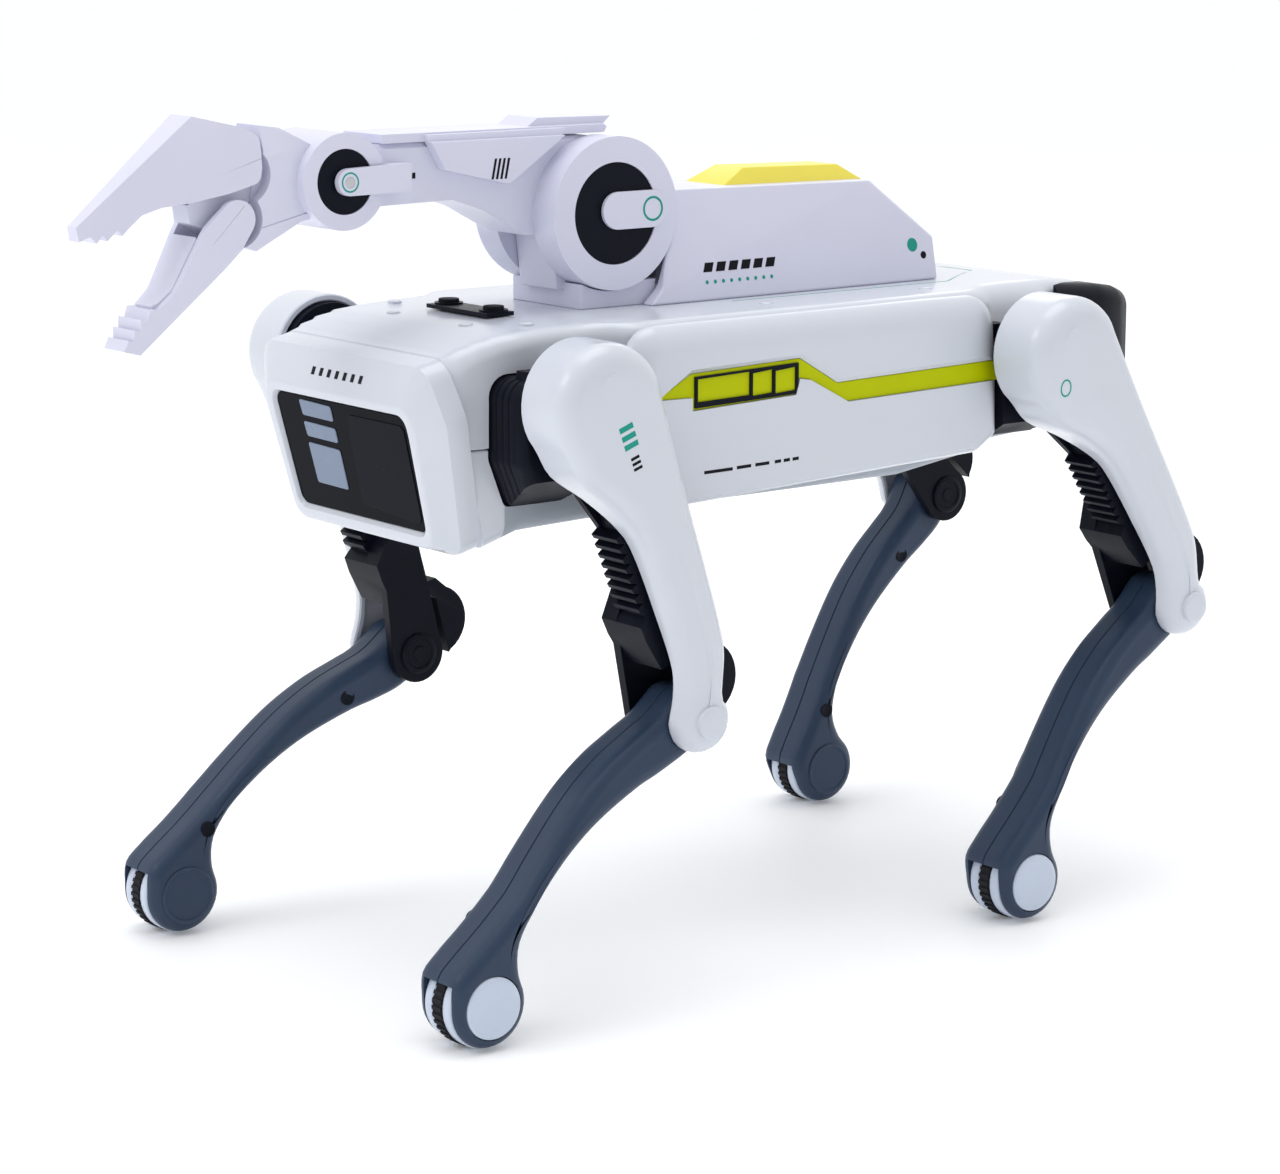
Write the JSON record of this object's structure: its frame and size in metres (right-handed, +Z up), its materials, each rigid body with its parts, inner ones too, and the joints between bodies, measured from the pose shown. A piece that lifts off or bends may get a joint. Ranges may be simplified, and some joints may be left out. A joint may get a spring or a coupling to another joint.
{
  "type": "quadruped robot dog",
  "caption": "Four-legged robot dog with wheeled feet, hinged hips and knees, a face screen, and a back-mounted arm that ends in a pair of jaws.",
  "frame": {"origin": "centre of the object's footprint on the floor, under the wheels", "axes": "+Z up, -Y the way the face looks, +X the robot's left"},
  "size_m": [0.16, 0.3608, 0.2406],
  "materials": {
    "white_shell": "smooth satin gloss moulding",
    "lilac_shell": "smooth satin moulding",
    "grey_shell": "fine spark texture",
    "black_shell": "fine spark texture",
    "slate_shell": "satin moulding",
    "lime": "satin",
    "pale_yellow": "satin",
    "screen": "polished",
    "black_rubber": "matt",
    "tread": "ribbed",
    "battery_wrap": "shrink wrap",
    "board": "solder mask",
    "steel": "plain"
  },
  "bodies": {
    "torso": {"top_cover": "white_shell", "belly_shell": "grey_shell", "face_bezel": "white_shell", "face_screen": "screen", "left_side_panel": "white_shell", "right_side_panel": "white_shell", "accent_strips": "lime", "window_frames": "black_shell", "hip_gearboxes": "black_shell", "rear_bumper": "black_shell", "button_plate": "black_shell", "backpack_shell": "lilac_shell", "backpack_strip": "pale_yellow", "arm_pedestal": "lilac_shell", "battery_door": "grey_shell", "battery_pack": "battery_wrap", "circuit_board": "board", "case_screws": "steel"},
    "left_push_button": {"left_button": "black_rubber"},
    "right_push_button": {"right_button": "black_rubber"},
    "slide_switch": {"power_switch": "black_shell"},
    "upper_arm": {"upper_arm_shell": "lilac_shell", "upper_arm_cover": "lilac_shell", "shoulder_discs": "black_shell", "shoulder_links": "lilac_shell", "shoulder_pin": "steel", "wrist_pin": "steel"},
    "arm_head": {"head_base": "lilac_shell", "wrist_discs": "black_shell", "jaw_pins": "steel"},
    "jaw_top": {"upper_jaw": "lilac_shell"},
    "jaw_bottom": {"lower_jaw": "lilac_shell"},
    "front_left_upper_leg": {"front_left_thigh_cover": "white_shell", "front_left_thigh_frame": "black_shell", "front_left_knee_pin": "white_shell"},
    "front_left_lower_leg": {"front_left_shin_outer": "slate_shell", "front_left_shin_inner": "slate_shell"},
    "front_left_foot": {"front_left_wheel": "white_shell", "front_left_tyre": "tread"},
    "front_right_upper_leg": {"front_right_thigh_cover": "white_shell", "front_right_thigh_frame": "black_shell", "front_right_knee_pin": "white_shell"},
    "front_right_lower_leg": {"front_right_shin_outer": "slate_shell", "front_right_shin_inner": "slate_shell"},
    "front_right_foot": {"front_right_wheel": "white_shell", "front_right_tyre": "tread"},
    "rear_left_upper_leg": {"rear_left_thigh_cover": "white_shell", "rear_left_thigh_frame": "black_shell", "rear_left_knee_pin": "white_shell"},
    "rear_left_lower_leg": {"rear_left_shin_outer": "slate_shell", "rear_left_shin_inner": "slate_shell"},
    "rear_left_foot": {"rear_left_wheel": "white_shell", "rear_left_tyre": "tread"},
    "rear_right_upper_leg": {"rear_right_thigh_cover": "white_shell", "rear_right_thigh_frame": "black_shell", "rear_right_knee_pin": "white_shell"},
    "rear_right_lower_leg": {"rear_right_shin_outer": "slate_shell", "rear_right_shin_inner": "slate_shell"},
    "rear_right_foot": {"rear_right_wheel": "white_shell", "rear_right_tyre": "tread"}
  },
  "joints": [
    {"name": "front_left_hip", "type": "hinge", "parent": "torso", "child": "front_left_upper_leg", "pos_m": [0.07, -0.065, 0.1655], "axis": [1, 0, 0], "range_deg": [-45, 18]},
    {"name": "front_left_knee", "type": "hinge", "parent": "front_left_upper_leg", "child": "front_left_lower_leg", "pos_m": [0.065, -0.03302, 0.07764], "axis": [1, 0, 0], "range_deg": [-22, 30]},
    {"name": "front_left_wheel_spin", "type": "hinge", "parent": "front_left_lower_leg", "child": "front_left_foot", "pos_m": [0.07, -0.10579, 0.012], "axis": [1, 0, 0], "continuous": true},
    {"name": "front_right_hip", "type": "hinge", "parent": "torso", "child": "front_right_upper_leg", "pos_m": [-0.07, -0.065, 0.1655], "axis": [1, 0, 0], "range_deg": [-42, 22]},
    {"name": "front_right_knee", "type": "hinge", "parent": "front_right_upper_leg", "child": "front_right_lower_leg", "pos_m": [-0.065, -0.0408, 0.07519], "axis": [1, 0, 0], "range_deg": [-22, 28]},
    {"name": "front_right_wheel_spin", "type": "hinge", "parent": "front_right_lower_leg", "child": "front_right_foot", "pos_m": [-0.07, -0.11571, 0.012], "axis": [1, 0, 0], "continuous": true},
    {"name": "rear_left_hip", "type": "hinge", "parent": "torso", "child": "rear_left_upper_leg", "pos_m": [0.07, 0.102, 0.1655], "axis": [1, 0, 0], "range_deg": [-38, 34]},
    {"name": "rear_left_knee", "type": "hinge", "parent": "rear_left_upper_leg", "child": "rear_left_lower_leg", "pos_m": [0.065, 0.15155, 0.08621], "axis": [1, 0, 0], "range_deg": [-22, 32]},
    {"name": "rear_left_wheel_spin", "type": "hinge", "parent": "rear_left_lower_leg", "child": "rear_left_foot", "pos_m": [0.07, 0.08754, 0.012], "axis": [1, 0, 0], "continuous": true},
    {"name": "rear_right_hip", "type": "hinge", "parent": "torso", "child": "rear_right_upper_leg", "pos_m": [-0.07, 0.102, 0.1655], "axis": [1, 0, 0], "range_deg": [-50, 24]},
    {"name": "rear_right_knee", "type": "hinge", "parent": "rear_right_upper_leg", "child": "rear_right_lower_leg", "pos_m": [-0.065, 0.16926, 0.10055], "axis": [1, 0, 0], "range_deg": [-22, 30]},
    {"name": "rear_right_wheel_spin", "type": "hinge", "parent": "rear_right_lower_leg", "child": "rear_right_foot", "pos_m": [-0.07, 0.12727, 0.012], "axis": [1, 0, 0], "continuous": true},
    {"name": "shoulder", "type": "hinge", "parent": "torso", "child": "upper_arm", "pos_m": [0, -0.02, 0.2093], "axis": [1, 0, 0], "range_deg": [-48, 8]},
    {"name": "wrist", "type": "hinge", "parent": "upper_arm", "child": "arm_head", "pos_m": [0, -0.1045, 0.222], "axis": [1, 0, 0], "range_deg": [-50, 40]},
    {"name": "upper_jaw_hinge", "type": "hinge", "parent": "arm_head", "child": "jaw_top", "pos_m": [0, -0.133, 0.225], "axis": [1, 0, 0], "range_deg": [-4, 15]},
    {"name": "lower_jaw_hinge", "type": "hinge", "parent": "arm_head", "child": "jaw_bottom", "pos_m": [0, -0.1355, 0.2135], "axis": [1, 0, 0], "range_deg": [-15, 4]},
    {"name": "left_button_press", "type": "slide", "parent": "torso", "child": "left_push_button", "axis": [0, 0, -1], "range_m": [0, 0.0008], "stiffness_N_per_m": 300, "springref_m": -0.001},
    {"name": "right_button_press", "type": "slide", "parent": "torso", "child": "right_push_button", "axis": [0, 0, -1], "range_m": [0, 0.0008], "stiffness_N_per_m": 300, "springref_m": -0.001},
    {"name": "power_switch_slide", "type": "slide", "parent": "torso", "child": "slide_switch", "axis": [0, 1, 0], "range_m": [0, 0.003]}
  ],
  "couplings": [
    {"joint": "lower_jaw_hinge", "follows": "upper_jaw_hinge", "ratio": -1}
  ]
}
